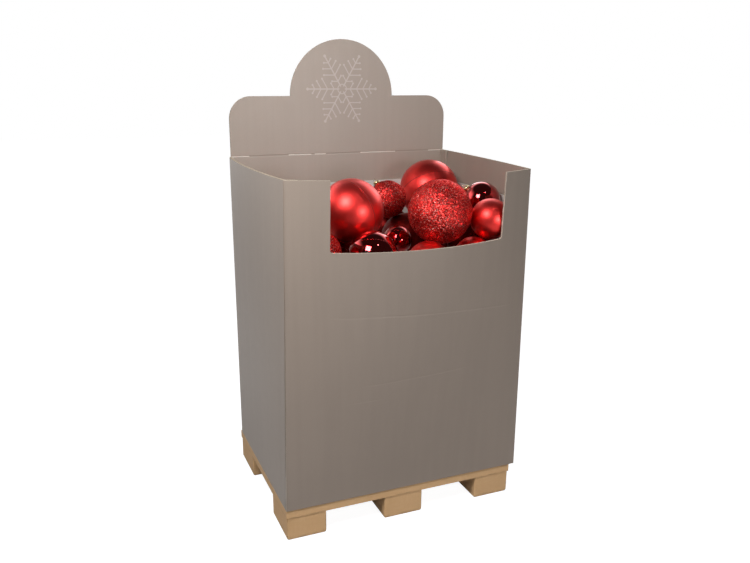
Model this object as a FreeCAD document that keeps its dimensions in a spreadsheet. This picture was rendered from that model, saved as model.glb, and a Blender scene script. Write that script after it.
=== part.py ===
import FreeCAD, Part
import math
import os

import Sketcher

Vector = FreeCAD.Vector

# A dump-bin display: a pallet of kraft board carries a tall printed sleeve with a
# cut-out in its front wall. Slotted dividers and a false floor hold up a heap of
# Christmas baubles, and a header card folds up along a crease in the back wall.
#
# The frame: millimetres, +Z up, the front faces -Y, and the origin lies on the
# floor under the middle of the whole display. The front wall bows out over the
# pallet, so the pallet's middle is set back from there.

doc = FreeCAD.newDocument("dump_bin_display")

# Driving sizes, in millimetres

SIZES = {
    # pallet
    "pallet_width": 800,
    "pallet_depth": 600,
    "foot_height": 80,
    "deck_thickness": 28,
    "deck_skin": 4,
    "deck_fold_radius": 3,
    "deck_core_gap": 0.5,
    "corner_foot_width": 130,
    "middle_foot_width": 136,
    "foot_depth": 168,
    "foot_inset": 2,
    "foot_upright_radius": 6,
    "foot_ground_radius": 9,
    # sleeve
    "sleeve_overhang_right": 20,
    "sleeve_overhang_depth": 3,
    "sleeve_height": 1020,
    "sleeve_board": 7,
    "front_bow": 92,
    "left_bow": 20,
    "right_bow": 8,
    "top_rack": 6,
    "glue_flap": 45,
    "glue_line": 1,
    "front_crease_radius": 6,
    "back_crease_radius": 20,
    # cut-out in the front wall
    "cutout_side": 130,
    "cutout_depth": 205,
    "cutout_sag": 6,
    "cutout_corner_radius": 9,
    # header card
    "header_inset": 6,
    "header_band": 200,
    "header_corner_radius": 75,
    "dome_radius": 190,
    # false floor and dividers
    "floor_level": 787,
    "floor_board": 5,
    "floor_side_gap": 15,
    "floor_rim": 238,
    "floor_rim_setback": 106,
    "floor_corner_gap": 1,
    "divider_board": 5,
    "slot_clearance": 0.5,
    # baubles
    "seat_gap": 0.3,
    "neck_radius": 8,
    "neck_height": 7,
    "cap_radius": 11.5,
    "cap_height": 10,
    "cap_wall": 0.8,
    "satin_left_diameter": 200,
    "satin_back_diameter": 210,
    "satin_right_diameter": 130,
    "satin_low_middle_diameter": 135,
    "satin_low_right_diameter": 130,
    "glitter_large_diameter": 200,
    "glitter_small_diameter": 125,
    "glitter_corner_diameter": 135,
    "mirror_right_diameter": 125,
    "mirror_front_diameter": 150,
    "mirror_middle_diameter": 95,
    "buried_left_diameter": 115,
    "buried_back_diameter": 125,
    "buried_rear_diameter": 160,
    "buried_right_diameter": 160,
    "buried_centre_diameter": 165,
    "buried_side_left_diameter": 140,
    "buried_side_right_diameter": 150,
}

# Sizes that follow from them

DERIVED = {
    "core_height": "deck_thickness - deck_skin",
    "deck_top": "foot_height + deck_thickness",
    "sleeve_width": "pallet_width + sleeve_overhang_right",
    "sleeve_depth": "pallet_depth + 2 * sleeve_overhang_depth",
    "sleeve_middle": "sleeve_overhang_right / 2",
    "sleeve_top": "deck_top + sleeve_height",
    "pallet_setback": "front_bow * (1 - cutout_depth / sleeve_height) / 2",
    "cutout_width": "sleeve_width - 2 * cutout_side",
    "header_width": "sleeve_width - 2 * header_inset",
    "inside_middle": "sleeve_middle + top_rack",
    "floor_width": "sleeve_width - 2 * (sleeve_board + floor_side_gap)",
    "floor_depth": "sleeve_depth - 3 * sleeve_board - glue_line - 2 * floor_corner_gap",
    "floor_rim_depth": "floor_depth - floor_board - floor_corner_gap - floor_rim_setback",
    "divider_height": "floor_level - floor_board - deck_top",
    "divider_depth": "sleeve_depth - 2 * sleeve_board - 2 * floor_corner_gap",
    "slot_width": "divider_board + 2 * slot_clearance",
    "slot_depth": "divider_height / 2 + slot_clearance",
}

sheet = doc.addObject("Spreadsheet::Sheet", "Sizes")
cells = {alias: str(value) for alias, value in SIZES.items()}
cells.update({alias: f"={formula}" for alias, formula in DERIVED.items()})
for row, (alias, content) in enumerate(cells.items(), start=1):
    sheet.set(f"A{row}", alias)
    sheet.set(f"B{row}", content)
    sheet.setAlias(f"B{row}", alias)
doc.recompute()


def size(alias):
    """The number in the cell of that name."""
    return float(sheet.get(alias))


# Helpers for bodies, sketches and pads

parts = {}


def origin_plane(body, role):
    """The body's own plane with that role, such as XY_Plane."""
    return [item for item in body.Origin.OriginFeatures if item.Role == role][0]


def new_body(label):
    """An empty body that becomes the sub-part of that name."""
    body = doc.addObject("PartDesign::Body", label)
    body.Label = label
    parts[label] = body
    return body


def new_sketch(body, name, role="XY_Plane"):
    """A sketch that lies on one of the body's own planes."""
    sketch = body.newObject("Sketcher::SketchObject", name)
    sketch.AttachmentSupport = [(origin_plane(body, role), "")]
    sketch.MapMode = "FlatFace"
    return sketch


def outline(sketch, corners):
    """A closed outline of straight lines, each corner held by two expressions."""
    first = sketch.GeometryCount
    count = len(corners)
    values = [[number(text) for text in corner] for corner in corners]
    for index in range(count):
        start = Vector(*values[index], 0)
        end = Vector(*values[(index + 1) % count], 0)
        sketch.addGeometry(Part.LineSegment(start, end), False)
    for index in range(count):
        after = first + (index + 1) % count
        sketch.addConstraint(Sketcher.Constraint("Coincident", first + index, 2, after, 1))
    for index, corner in enumerate(corners):
        for kind, text in zip(("DistanceX", "DistanceY"), corner):
            value = number(text)
            place = sketch.addConstraint(
                Sketcher.Constraint(kind, -1, 1, first + index, 1, value)
            )
            sketch.setExpression(f"Constraints[{place}]", bound(text))


def bound(text):
    """An expression with each size's name led by the name of its sheet."""
    words = []
    word = ""
    for letter in text + " ":
        if letter.isalnum() or letter == "_":
            word += letter
            continue
        if word:
            words.append("Sizes." + word if word in cells else word)
            word = ""
        words.append(letter)
    return "".join(words).strip()


def number(text):
    """What an expression comes to now."""
    return float(sheet.evalExpression(bound(text)))


def rectangle(sketch, width, depth, x="0", y="0"):
    """A rectangle about a middle point."""
    left = f"({x}) - ({width}) / 2"
    right = f"({x}) + ({width}) / 2"
    low = f"({y}) - ({depth}) / 2"
    high = f"({y}) + ({depth}) / 2"
    outline(sketch, [(left, low), (right, low), (right, high), (left, high)])


def pad(body, sketch, length, name, reverse=False, midplane=False):
    """A pad whose length is an expression."""
    feature = body.newObject("PartDesign::Pad", name)
    feature.Profile = sketch
    feature.Length = number(length)
    feature.setExpression("Length", bound(length))
    feature.Reversed = reverse
    feature.Midplane = midplane
    doc.recompute()
    return feature


def pocket(body, sketch, length, name, reverse=False, midplane=False):
    """A pocket that is checked to have taken something away."""
    before = body.Shape.Volume
    feature = body.newObject("PartDesign::Pocket", name)
    feature.Profile = sketch
    feature.Length = number(length)
    feature.setExpression("Length", bound(length))
    feature.Reversed = reverse
    feature.Midplane = midplane
    doc.recompute()
    if body.Shape.Volume >= before:
        raise RuntimeError(f"{name} cuts nothing")
    return feature


def fillet(body, edges, radius, name):
    """A fillet on the edges of the body's tip that pass a test."""
    tip = body.Tip
    names = [
        f"Edge{index}"
        for index, edge in enumerate(tip.Shape.Edges, start=1)
        if edges(edge)
    ]
    feature = body.newObject("PartDesign::Fillet", name)
    feature.Base = (tip, names)
    feature.Radius = size(radius)
    feature.setExpression("Radius", bound(radius))
    doc.recompute()
    return feature


def direction(edge):
    """The unit direction of a straight edge, or nothing for a curved one."""
    if edge.Curve.TypeId != "Part::GeomLine":
        return Vector()
    return (edge.Vertexes[1].Point - edge.Vertexes[0].Point).normalize()


def is_upright(edge):
    return abs(direction(edge).z) > 0.99


def is_level(edge):
    return direction(edge).Length > 0 and abs(direction(edge).z) < 0.01


def place(item, x="0", y="0", z="0"):
    """A Placement by three expressions, counted from the pallet's middle."""
    for axis, text in zip("xyz", (x, f"{y} + pallet_setback", z)):
        item.setExpression(f"Placement.Base.{axis}", bound(text))
    doc.recompute()


# Pallet: a folded kraft cover over a honeycomb panel, on six laminated feet


def make_deck_cover():
    body = new_body("pallet_deck_cover")
    sketch = new_sketch(body, "cover_outline")
    rectangle(sketch, "pallet_width", "pallet_depth")
    pad(body, sketch, "deck_thickness", "cover_block")
    fillet(
        body,
        lambda edge: is_level(edge) and edge.BoundBox.ZMin > 0,
        "deck_fold_radius",
        "cover_folds",
    )
    hollow = new_sketch(body, "cover_hollow")
    rectangle(hollow, "pallet_width - 2 * deck_skin", "pallet_depth - 2 * deck_skin")
    pocket(body, hollow, "core_height", "cover_inside", reverse=True)
    place(body, z="foot_height")


def make_deck_core():
    body = new_body("pallet_deck_core")
    sketch = new_sketch(body, "core_outline")
    rectangle(
        sketch,
        "pallet_width - 2 * (deck_skin + deck_core_gap)",
        "pallet_depth - 2 * (deck_skin + deck_core_gap)",
    )
    pad(body, sketch, "core_height", "core_panel")
    place(body, z="foot_height")


def make_feet():
    columns = {
        "left": ("corner_foot_width", "-(pallet_width - corner_foot_width) / 2 + foot_inset"),
        "middle": ("middle_foot_width", "0"),
        "right": ("corner_foot_width", "(pallet_width - corner_foot_width) / 2 - foot_inset"),
    }
    rows = {
        "front": "-(pallet_depth - foot_depth) / 2 + foot_inset",
        "rear": "(pallet_depth - foot_depth) / 2 - foot_inset",
    }
    for row_name, y in rows.items():
        for column_name, (width, x) in columns.items():
            body = new_body(f"pallet_foot_{row_name}_{column_name}")
            sketch = new_sketch(body, f"{row_name}_{column_name}_outline")
            rectangle(sketch, width, "foot_depth")
            pad(body, sketch, "foot_height", f"{row_name}_{column_name}_block")
            fillet(body, is_upright, "foot_upright_radius", f"{row_name}_{column_name}_sides")
            fillet(
                body,
                lambda edge: is_level(edge) and edge.BoundBox.ZMax < size("foot_ground_radius"),
                "foot_ground_radius",
                f"{row_name}_{column_name}_ground_edges",
            )
            place(body, x=x, y=y)


make_deck_cover()
make_deck_core()
make_feet()

# Dividers: two long and two short boards, slotted half into one another

def make_divider(label, role, length, spread, slot_low, x="0", y="0"):
    """A board with two slots, from below or from above, for the boards that cross it."""
    body = new_body(label)
    sketch = new_sketch(body, f"{label}_outline", role)
    half = f"{length} / 2"
    low = f"-{half}"
    outline(
        sketch,
        [(low, "0"), (half, "0"), (half, "divider_height"), (low, "divider_height")],
    )
    pad(body, sketch, "divider_board", f"{label}_board", midplane=True)
    slots = new_sketch(body, f"{label}_slots", role)
    middle = "slot_depth / 2" if slot_low else "divider_height - slot_depth / 2"
    for side in ("-", ""):
        rectangle(slots, "slot_width", "slot_depth", f"{side}{spread} / 2", middle)
    pocket(body, slots, "2 * divider_board", f"{label}_slot_cuts", midplane=True)
    place(body, x=x, y=y, z="deck_top")


for end, sign in (("front", "-"), ("rear", "")):
    make_divider(
        f"divider_long_{end}",
        "XZ_Plane",
        "floor_width",
        "floor_width / 2",
        False,
        x="inside_middle",
        y=f"{sign}divider_depth / 4",
    )
for end, sign in (("left", "-"), ("right", "")):
    make_divider(
        f"divider_cross_{end}",
        "YZ_Plane",
        "divider_depth",
        "divider_depth / 2",
        True,
        x=f"inside_middle {sign or '+'} floor_width / 4",
    )


# False floor: a tray whose back and sides are turned up. Its plain front edge
# stops short of the glue flap in the front left corner.


def make_false_floor():
    body = new_body("false_floor")
    sketch = new_sketch(body, "floor_outline")
    rectangle(sketch, "floor_width", "floor_depth")
    pad(body, sketch, "floor_board", "floor_sheet")
    sides = new_sketch(body, "side_rims")
    for side in ("-", ""):
        rectangle(
            sides,
            "floor_board",
            "floor_rim_depth",
            f"{side}(floor_width - floor_board) / 2",
            "(floor_rim_setback - floor_board - floor_corner_gap) / 2",
        )
    pad(body, sides, "floor_board + floor_rim", "side_rim_sheets")
    back = new_sketch(body, "back_rim")
    rectangle(back, "floor_width", "floor_board", "0", "(floor_depth - floor_board) / 2")
    pad(body, back, "floor_board + floor_rim", "back_rim_sheet")
    place(
        body,
        x="inside_middle",
        y="(sleeve_board + glue_line) / 2",
        z="floor_level - floor_board",
    )


make_false_floor()

# Sleeve: two creased sheets, glued at the front left and the rear right corner.
# The stock pushes the walls out, so that they are flat at the foot and bowed at
# the rim, and the corners there draw in by what the bow takes up.


class WallLine:
    """The outer face of one wall in plan, straight or bowed outwards."""

    def __init__(self, start, end, bow):
        self.start = start
        self.end = end
        run = (end - start).normalize()
        self.outward = Vector(run.y, -run.x, 0)
        self.bow = bow
        if bow:
            half = (end - start).Length / 2
            self.radius = (half * half + bow * bow) / (2 * bow)
            self.centre = (start + end) / 2 - self.outward * (self.radius - bow)

    def normal(self, point):
        """The outward direction at a point on or near the wall."""
        if not self.bow:
            return self.outward
        return (point - self.centre).normalize()

    def offset(self, point, inset):
        """How far a point lies outside the face that is inset so far inwards."""
        if not self.bow:
            return (point - self.start).dot(self.outward) + inset
        return (point - self.centre).Length - (self.radius - inset)

    def onto(self, point, inset):
        """The nearest point on the inset face."""
        return point - self.normal(point) * self.offset(point, inset)

    def edge(self, start, end):
        """The stretch of an inset face from one of its points to another."""
        if not self.bow:
            return Part.LineSegment(start, end).toShape()
        inset = -self.offset(start, 0)
        return Part.Arc(start, self.onto((start + end) / 2, inset), end).toShape()


def meet(first, first_inset, second, second_inset, near):
    """The corner where two inset faces meet, found by Newton's method."""
    point = near
    for _ in range(8):
        one = first.normal(point)
        two = second.normal(point)
        off_one = first.offset(point, first_inset)
        off_two = second.offset(point, second_inset)
        turn = one.x * two.y - one.y * two.x
        point = point - Vector(
            (off_one * two.y - off_two * one.y) / turn,
            (off_two * one.x - off_one * two.x) / turn,
            0,
        )
    return point


def chord(length, bow):
    """The straight distance that a bowed sheet of that length spans."""
    return length - 8 * bow * bow / (3 * length)


def sleeve_walls(share):
    """The four walls in plan at a share of the height, as front, right, back and left."""
    width = size("sleeve_width")
    depth = size("sleeve_depth")
    middle = size("sleeve_middle")
    front_bow = size("front_bow") * share
    left_bow = size("left_bow") * share
    right_bow = size("right_bow") * share
    draw_in = (width - chord(width, front_bow)) / 2
    rack = size("top_rack") * share
    left_in = draw_in + rack
    right_in = draw_in - rack
    back = depth / 2
    rear_left = Vector(middle - width / 2, back, 0)
    rear_right = Vector(middle + width / 2, back, 0)
    left_reach = math.sqrt(chord(depth, left_bow) ** 2 - left_in**2)
    right_reach = math.sqrt(chord(depth, right_bow) ** 2 - right_in**2)
    front_left = Vector(rear_left.x + left_in, back - left_reach, 0)
    front_right = Vector(rear_right.x - right_in, back - right_reach, 0)
    return (
        WallLine(front_left, front_right, front_bow),
        WallLine(front_right, rear_right, right_bow),
        WallLine(rear_right, rear_left, 0),
        WallLine(rear_left, front_left, left_bow),
    )


def front_sheet_section(share):
    """The front and right walls: raw ends at the two glued corners."""
    board = size("sleeve_board")
    front, right, back, left = sleeve_walls(share)
    inner_start = front.onto(front.start - front.normal(front.start) * board, board)
    inner_end = right.onto(right.end - right.normal(right.end) * board, board)
    inner_corner = meet(front, board, right, board, front.end)
    edges = [
        front.edge(front.start, front.end),
        right.edge(right.start, right.end),
        Part.LineSegment(right.end, inner_end).toShape(),
        right.edge(inner_end, inner_corner),
        front.edge(inner_corner, inner_start),
        Part.LineSegment(inner_start, front.start).toShape(),
    ]
    return Part.Wire(edges)


def back_sheet_section(share):
    """The back and left walls, each with its glue flap behind the other sheet."""
    board = size("sleeve_board")
    outside = board + size("glue_line")
    inside = outside + board
    flap = size("glue_flap")
    front, right, back, left = sleeve_walls(share)
    fold_right = meet(right, outside, back, 0, back.start)
    flap_right = right.onto(fold_right + (right.start - right.end).normalize() * flap, outside)
    flap_right_in = right.onto(flap_right, inside)
    inner_right = meet(right, inside, back, board, back.start)
    inner_rear_left = meet(back, board, left, board, back.end)
    inner_left = meet(left, board, front, inside, left.end)
    fold_left = meet(left, 0, front, outside, left.end)
    flap_left = front.onto(fold_left + (front.end - front.start).normalize() * flap, outside)
    flap_left_in = front.onto(flap_left, inside)
    edges = [
        right.edge(fold_right, flap_right),
        Part.LineSegment(flap_right, flap_right_in).toShape(),
        right.edge(flap_right_in, inner_right),
        back.edge(inner_right, inner_rear_left),
        left.edge(inner_rear_left, inner_left),
        front.edge(inner_left, flap_left_in),
        Part.LineSegment(flap_left_in, flap_left).toShape(),
        front.edge(flap_left, fold_left),
        left.edge(fold_left, left.start),
        back.edge(back.end, fold_right),
    ]
    return Part.Wire(edges)


def sleeve_sheet(section):
    """A sheet ruled from its section at the foot to its section at the rim."""
    foot = section(0)
    rim = section(1)
    rim.translate(Vector(0, 0, size("sleeve_height")))
    return Part.makeLoft([foot, rim], True, True)


def round_upright(shape, corners, radius):
    """The sheet with its upright edge at that corner of the plan rounded."""
    chosen = []
    for edge in shape.Edges:
        ends = [vertex.Point for vertex in edge.Vertexes]
        if len(ends) == 2 and abs(ends[0].z - ends[1].z) > size("sleeve_height") / 2:
            low = min(ends, key=lambda point: point.z)
            if any((low - corner).Length < size("sleeve_board") / 2 for corner in corners):
                chosen.append(edge)
    return shape.makeFillet(radius, chosen)


def cutout_block():
    """What the cut-out takes from the front wall, its lower edge hanging a little."""
    half = size("cutout_width") / 2
    depth = size("cutout_depth")
    sag = size("cutout_sag")
    top = size("sleeve_height")
    low = top - depth
    front_right_in = Vector(half, 0, low)
    front_left_in = Vector(-half, 0, low)
    lift = Vector(0, 0, 2 * depth)
    edges = [
        Part.Arc(front_left_in, Vector(0, 0, low - sag), front_right_in).toShape(),
        Part.LineSegment(front_right_in, front_right_in + lift).toShape(),
        Part.LineSegment(front_right_in + lift, front_left_in + lift).toShape(),
        Part.LineSegment(front_left_in + lift, front_left_in).toShape(),
    ]
    reach = size("sleeve_depth") / 2 + size("front_bow")
    block = Part.Face(Part.Wire(edges)).extrude(Vector(0, -reach, 0))
    corners = [
        edge
        for edge in block.Edges
        if abs(direction(edge).y) > 0.99 and edge.BoundBox.ZMax < top
    ]
    block = block.makeFillet(size("cutout_corner_radius"), corners)
    block.translate(Vector(size("inside_middle"), -size("front_bow"), 0))
    return block


def keep_shape(label, shape):
    """A sub-part whose shape is worked out here, standing on the pallet's deck."""
    item = doc.addObject("Part::Feature", label)
    item.Label = label
    item.Shape = shape
    foot = Vector(0, size("pallet_setback"), size("deck_top"))
    item.Placement = FreeCAD.Placement(foot, FreeCAD.Rotation())
    parts[label] = item


def make_sleeve():
    foot = sleeve_walls(0)
    front_sheet = sleeve_sheet(front_sheet_section)
    front_sheet = round_upright(front_sheet, [foot[0].end], size("front_crease_radius"))
    front_sheet = front_sheet.cut(cutout_block())
    keep_shape("sleeve_front_and_right", front_sheet)
    back_sheet = sleeve_sheet(back_sheet_section)
    back_sheet = round_upright(back_sheet, [foot[2].end], size("back_crease_radius"))
    keep_shape("sleeve_back_and_left", back_sheet)


make_sleeve()

# Header card: a band with two large round corners and a dome, on the crease


def make_header():
    body = new_body("header_card")
    band = new_sketch(body, "band_outline", "XZ_Plane")
    rectangle(band, "header_width", "header_band", "0", "header_band / 2")
    pad(body, band, "sleeve_board", "band_sheet", midplane=True)
    fillet(
        body,
        lambda edge: abs(direction(edge).y) > 0.99 and edge.BoundBox.ZMin > 0,
        "header_corner_radius",
        "band_corners",
    )
    dome = new_sketch(body, "dome_outline", "XZ_Plane")
    circle = dome.addGeometry(Part.Circle(Vector(0, number("header_band"), 0), Vector(0, 0, 1), 1))
    dome.addConstraint(Sketcher.Constraint("PointOnObject", circle, 3, -2))
    lift = dome.addConstraint(
        Sketcher.Constraint("DistanceY", -1, 1, circle, 3, number("header_band"))
    )
    dome.setExpression(f"Constraints[{lift}]", bound("header_band"))
    reach = dome.addConstraint(Sketcher.Constraint("Radius", circle, number("dome_radius")))
    dome.setExpression(f"Constraints[{reach}]", bound("dome_radius"))
    pad(body, dome, "sleeve_board", "dome_sheet", midplane=True)
    place(
        body,
        x="sleeve_middle",
        y="(sleeve_depth - sleeve_board) / 2",
        z="sleeve_top",
    )


make_header()

# Baubles: each drops straight down, at its own place in plan, until it rests on
# the false floor or on a bauble that lay there before it. Across the bin a place
# is a share of the way from the tray's middle to where the bauble meets its rim,
# and along it a share of the sleeve's half depth. A cap points the way given by
# its direction; a bauble without one is a plain ball deeper in the heap.

BAUBLE_PLACE_SHARES = {
    "buried_left": (-0.626, -0.588),
    "buried_back": (0.814, 0.674),
    "buried_rear": (0.403, 0.559),
    "buried_right": (0.979, -0.408),
    "buried_centre": (0.374, 0.009),
    "buried_side_left": (-0.483, -0.16),
    "buried_side_right": (0.912, 0.115),
    "satin_low_middle": (0.172, -0.966),
    "satin_low_right": (0.714, -0.877),
    "mirror_middle": (0.107, -0.334),
    "mirror_front": (-0.397, -0.904),
    "glitter_corner": (-0.903, -0.834),
    "glitter_large": (0.418, -0.772),
    "satin_left": (-0.493, -0.465),
    "glitter_small": (0.167, 0.074),
    "satin_back": (0.965, 0.474),
    "mirror_right": (0.998, -0.466),
    "satin_right": (0.887, -0.877),
}

CAP_DIRECTIONS = {
    "glitter_small": Vector(-0.5, 0.25, 0.8),
    "mirror_right": Vector(-0.7, 0.3, 0.6),
    "glitter_large": Vector(0.1, 0.6, -0.8),
    "satin_left": Vector(-0.22, 0.97, -0.1),
    "satin_back": Vector(0.5, 0.6, -0.6),
    "satin_right": Vector(0.2, -0.3, -0.9),
}


def rest_height(x, y, radius, heap):
    """The lowest height at which a bauble clears the floor and those below it."""
    height = size("floor_level") + size("seat_gap") + radius
    for other_x, other_y, other_z, other_radius in heap:
        reach = radius + other_radius + size("seat_gap")
        apart = math.hypot(x - other_x, y - other_y)
        if apart < reach:
            height = max(height, other_z + math.sqrt(reach**2 - apart**2))
    return height


def cap_seat(radius):
    """How high over the centre the rim of a cap clears the bauble."""
    inner = size("cap_radius") - size("cap_wall")
    return math.sqrt(radius**2 - inner**2) + size("seat_gap")


def turned(way):
    """The turn that brings +Z to that direction."""
    return FreeCAD.Rotation(Vector(0, 0, 1), way)


def make_ball(name, centre, way):
    """A moulded ball, with its neck where a cap goes on."""
    ball = doc.addObject("Part::Sphere", f"{name}_ball")
    ball.setExpression("Radius", bound(f"{name}_diameter / 2"))
    result = ball
    if way:
        neck = doc.addObject("Part::Cylinder", f"{name}_neck")
        neck.setExpression("Radius", bound("neck_radius"))
        neck.setExpression("Height", bound(f"{name}_diameter / 2 + neck_height"))
        result = doc.addObject("Part::Fuse", f"{name}_moulding")
        result.Base = ball
        result.Tool = neck
        result.Placement = FreeCAD.Placement(centre, turned(way))
    else:
        ball.Placement = FreeCAD.Placement(centre, FreeCAD.Rotation())
    result.Label = f"{name}_bauble"
    parts[result.Label] = result


def make_cap(name, centre, way):
    """A thin metal cup, turned from its profile, that hides the neck."""
    body = new_body(f"{name}_cap")
    profile = new_sketch(body, f"{name}_cap_profile", "XZ_Plane")
    inner = "(cap_radius - cap_wall)"
    outline(
        profile,
        [
            (inner, "0"),
            ("cap_radius", "0"),
            ("cap_radius", "cap_height"),
            ("0", "cap_height"),
            ("0", "cap_height - cap_wall"),
            (inner, "cap_height - cap_wall"),
        ],
    )
    turn = body.newObject("PartDesign::Revolution", f"{name}_cap_turning")
    turn.Profile = profile
    turn.ReferenceAxis = (profile, ["V_Axis"])
    turn.Angle = 360
    doc.recompute()
    along = Vector(way).normalize()
    seat = cap_seat(size(f"{name}_diameter") / 2)
    body.Placement = FreeCAD.Placement(centre + along * seat, turned(way))


def make_baubles():
    half_width = size("floor_width") / 2 - size("floor_board") - size("seat_gap")
    half_depth = size("sleeve_depth") / 2
    heap = []
    for name, (x_share, y_share) in BAUBLE_PLACE_SHARES.items():
        radius = size(f"{name}_diameter") / 2
        x = size("inside_middle") + x_share * (half_width - radius)
        y = y_share * half_depth + size("pallet_setback")
        z = rest_height(x, y, radius, heap)
        heap.append((x, y, z, radius))
        centre = Vector(x, y, z)
        way = CAP_DIRECTIONS.get(name)
        make_ball(name, centre, way)
        if way:
            make_cap(name, centre, way)
        print(f"{name}: {x:.1f} {y:.1f} {z:.1f} radius {radius:.1f}")


make_baubles()

# Check every object, then write one file for each sub-part

doc.recompute()
for item in doc.Objects:
    if "Invalid" in item.State or "Error" in item.State:
        raise RuntimeError(f"{item.Label} did not recompute: {item.State}")
for label, item in parts.items():
    if item.Shape.isNull() or not item.Shape.isValid():
        raise RuntimeError(f"{label} has no valid shape")

os.makedirs("parts", exist_ok=True)
for label, item in parts.items():
    item.Shape.exportStep(f"parts/{label}.step")
print(f"{len(parts)} sub-parts written")
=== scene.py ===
# %% [markdown]
# # A cardboard dump bin full of Christmas baubles
# This is a shop display made of corrugated board: a printed sleeve stands on a small kraft pallet, a
# header card rises from its back wall, and red baubles lie on a hidden false floor inside it. The
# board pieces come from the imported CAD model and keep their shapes. Here they get their finishes,
# and the baubles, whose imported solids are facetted, are made anew as smooth blown balls.

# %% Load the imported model
import math
import bpy
import bmesh
from mathutils import Matrix, Vector


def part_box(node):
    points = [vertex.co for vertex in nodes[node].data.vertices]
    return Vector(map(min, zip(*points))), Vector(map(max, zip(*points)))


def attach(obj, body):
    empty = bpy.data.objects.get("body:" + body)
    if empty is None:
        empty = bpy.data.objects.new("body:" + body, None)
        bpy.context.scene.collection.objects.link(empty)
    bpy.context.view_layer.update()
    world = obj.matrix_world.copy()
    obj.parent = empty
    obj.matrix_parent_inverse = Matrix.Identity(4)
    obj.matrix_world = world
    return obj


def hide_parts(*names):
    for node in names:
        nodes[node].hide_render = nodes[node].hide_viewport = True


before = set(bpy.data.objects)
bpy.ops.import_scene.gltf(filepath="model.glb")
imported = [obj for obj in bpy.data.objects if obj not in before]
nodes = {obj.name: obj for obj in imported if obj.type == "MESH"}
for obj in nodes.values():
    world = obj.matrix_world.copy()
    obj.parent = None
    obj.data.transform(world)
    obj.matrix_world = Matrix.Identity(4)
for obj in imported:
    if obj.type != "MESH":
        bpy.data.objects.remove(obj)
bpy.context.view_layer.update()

# %% [markdown]
# ## Camera
# The picture was taken from the left of the display and a little above it. The camera's place, turn
# and lens were fitted to the corners of the pallet and the sleeve, whose sizes are known. A small
# lens shift takes the place of the crop that the picture has had.

# %% Camera
CAMERA_PLACE = (-0.96230, -2.29213, 1.42879)
CAMERA_TURN, CAMERA_DIP, CAMERA_ROLL = -23.115, 16.313, 0.581

camera_lens = bpy.data.cameras.new("camera")
camera_lens.sensor_fit = "HORIZONTAL"
camera_lens.sensor_width = 36.0
camera_lens.lens = 36.938
camera_lens.shift_x = -0.00544
camera_lens.shift_y = 0.01335
camera = bpy.data.objects.new("camera", camera_lens)
bpy.context.scene.collection.objects.link(camera)
camera.matrix_world = (
    Matrix.Translation(CAMERA_PLACE)
    @ Matrix.Rotation(math.radians(CAMERA_TURN), 4, "Z")
    @ Matrix.Rotation(math.radians(90.0 - CAMERA_DIP), 4, "X")
    @ Matrix.Rotation(math.radians(CAMERA_ROLL), 4, "Z")
)
bpy.context.scene.camera = camera
bpy.context.scene.view_settings.view_transform = "Standard"
print("camera looks along", [round(v, 3) for v in camera.matrix_world.to_3x3() @ Vector((0, 0, -1))])

# %% [markdown]
# ## How the finishes are written
# A finish is a material whose nodes work out a colour, a roughness and a height for each point. Nodes
# can be placed one by one, but sums are easier to read as sums. So a flow stands for one socket, and
# adding or multiplying flows adds the Math nodes. Each other node comes from the same method, which
# takes its type, its settings and what goes into its sockets.


# %% A flow through the nodes
class Flow:
    """A number, colour or direction on its way through a recipe."""

    def __init__(self, recipe, socket):
        self.recipe = recipe
        self.socket = socket

    def __add__(self, other):
        return self.recipe.maths("ADD", self, other)

    __radd__ = __add__

    def __sub__(self, other):
        return self.recipe.maths("SUBTRACT", self, other)

    def __rsub__(self, other):
        return self.recipe.maths("SUBTRACT", other, self)

    def __mul__(self, other):
        return self.recipe.maths("MULTIPLY", self, other)

    __rmul__ = __mul__

    def __truediv__(self, other):
        return self.recipe.maths("DIVIDE", self, other)

    def __pow__(self, other):
        return self.recipe.maths("POWER", self, other)

    def __abs__(self):
        return self.recipe.maths("ABSOLUTE", self)

    def __lt__(self, other):
        return self.recipe.maths("LESS_THAN", self, other)

    def __gt__(self, other):
        return self.recipe.maths("GREATER_THAN", self, other)

    def larger(self, other):
        return self.recipe.maths("MAXIMUM", self, other)

    def sine(self):
        return self.recipe.maths("SINE", self)

    def cosine(self):
        return self.recipe.maths("COSINE", self)

    def rise(self, low, high):
        """0 below low, 1 above high, with a soft step between them."""
        return self.recipe.node(
            "ShaderNodeMapRange",
            {"interpolation_type": "SMOOTHSTEP"},
            {0: self, 1: low, 2: high, 3: 0.0, 4: 1.0},
        )

    def band(self, low, high, soft):
        """1 between low and high, falling to 0 over the width of soft."""
        return self.rise(low - soft, low + soft) * (1.0 - self.rise(high - soft, high + soft))


def largest(marks):
    """The largest of several flows, which joins their marks on a surface."""
    most = marks[0]
    for mark in marks[1:]:
        most = most.larger(mark)
    return most


# %% A recipe of nodes
class Recipe:
    """A tree of nodes, of a finish or of the room, and the ways to add to it."""

    def __init__(self, tree):
        self.tree = tree

    def node(self, kind, settings, sockets, out=0):
        """Adds one node: first its settings, then what its sockets get."""
        made = self.tree.nodes.new(kind)
        for name, value in settings.items():
            setattr(made, name, value)
        for place, value in sockets.items():
            if isinstance(value, Flow):
                self.tree.links.new(value.socket, made.inputs[place])
            else:
                made.inputs[place].default_value = value
        return Flow(self, made.outputs[out])

    def maths(self, operation, *values):
        return self.node("ShaderNodeMath", {"operation": operation}, dict(enumerate(values)))

    def parts(self, vector):
        """The three numbers of a direction or a colour."""
        return [self.node("ShaderNodeSeparateXYZ", {}, {0: vector}, part) for part in range(3)]

    def mixed(self, share, first, second):
        """A colour between two colours, which are the Mix node's sockets 6 and 7."""
        return self.node("ShaderNodeMix", {"data_type": "RGBA"}, {0: share, 6: first, 7: second}, 2)


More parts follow.
